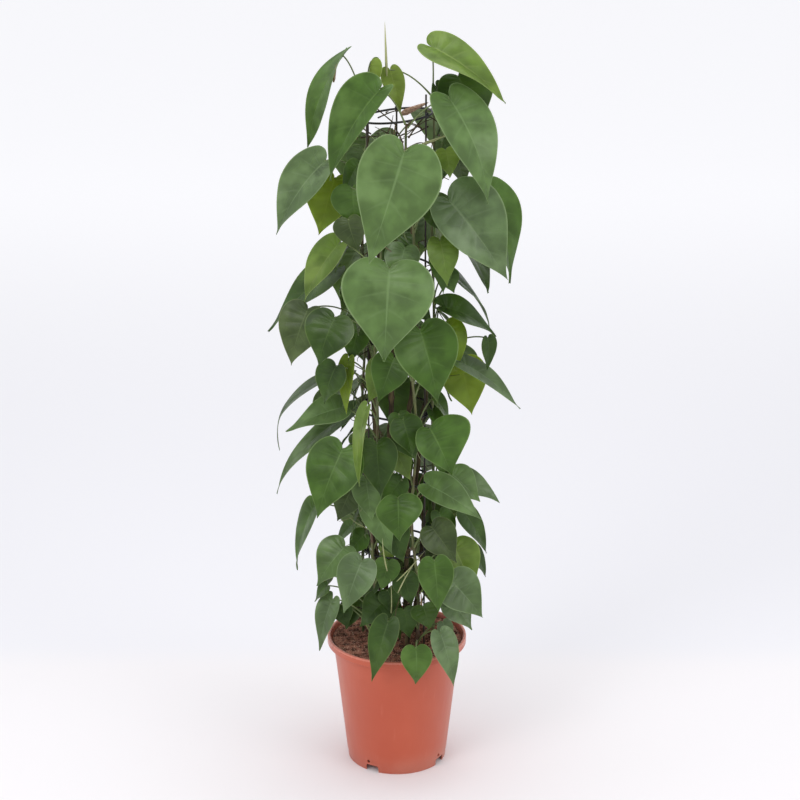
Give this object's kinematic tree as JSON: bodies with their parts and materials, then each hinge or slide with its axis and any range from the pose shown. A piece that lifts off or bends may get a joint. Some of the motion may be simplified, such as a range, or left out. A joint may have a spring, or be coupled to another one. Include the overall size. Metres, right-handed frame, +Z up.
{
  "type": "potted climbing philodendron",
  "caption": "Heart-leaved philodendron climbing an open tower of rings and legs in a tapered plastic nursery pot filled with coir soil.",
  "frame": {"origin": "centre of the pot's underside, on the surface that the pot stands on", "axes": "+Z up along the tower, -Y towards the plant's front, +X to its right"},
  "size_m": [0.4244, 0.3359, 1.2612],
  "materials": {
    "pot_plastic": "satin terracotta-coloured polypropylene",
    "coir_soil": "loose moist coir and peat crumbs",
    "leg_coating": "dark brown plastic-coated rod",
    "ring_coating": "black plastic-coated wire",
    "stem_bark": "green-brown living stem",
    "leaf_green": "waxy green leaf, glossy above and paler below"
  },
  "bodies": {
    "root": {"leaf_01": "leaf_green", "leaf_02": "leaf_green", "leaf_03": "leaf_green", "leaf_04": "leaf_green", "leaf_05": "leaf_green", "leaf_06": "leaf_green", "leaf_07": "leaf_green", "leaf_08": "leaf_green", "leaf_09": "leaf_green", "leaf_10": "leaf_green", "leaf_11": "leaf_green", "leaf_12": "leaf_green", "leaf_13": "leaf_green", "leaf_14": "leaf_green", "leaf_15": "leaf_green", "leaf_16": "leaf_green", "leaf_17": "leaf_green", "leaf_18": "leaf_green", "leaf_19": "leaf_green", "leaf_20": "leaf_green", "leaf_21": "leaf_green", "leaf_22": "leaf_green", "leaf_23": "leaf_green", "leaf_24": "leaf_green", "leaf_25": "leaf_green", "leaf_26": "leaf_green", "leaf_27": "leaf_green", "leaf_28": "leaf_green", "leaf_29": "leaf_green", "leaf_30": "leaf_green", "leaf_31": "leaf_green", "leaf_32": "leaf_green", "leaf_33": "leaf_green", "leaf_34": "leaf_green", "leaf_35": "leaf_green", "leaf_36": "leaf_green", "leaf_37": "leaf_green", "leaf_38": "leaf_green", "leaf_39": "leaf_green", "leaf_40": "leaf_green", "leaf_41": "leaf_green", "leaf_42": "leaf_green", "leaf_43": "leaf_green", "pot": "pot_plastic", "soil": "coir_soil", "stem_back": "stem_bark", "stem_front_left": "stem_bark", "stem_front_right": "stem_bark", "stem_left": "stem_bark", "stem_right": "stem_bark", "tower_leg_1": "leg_coating", "tower_leg_2": "leg_coating", "tower_leg_3": "leg_coating", "tower_ring_1": "ring_coating", "tower_ring_2": "ring_coating", "tower_ring_3": "ring_coating", "tower_ring_4": "ring_coating", "tower_ring_5": "ring_coating", "tower_ring_6": "ring_coating", "tower_ring_7": "ring_coating"}
  },
  "joints": []
}
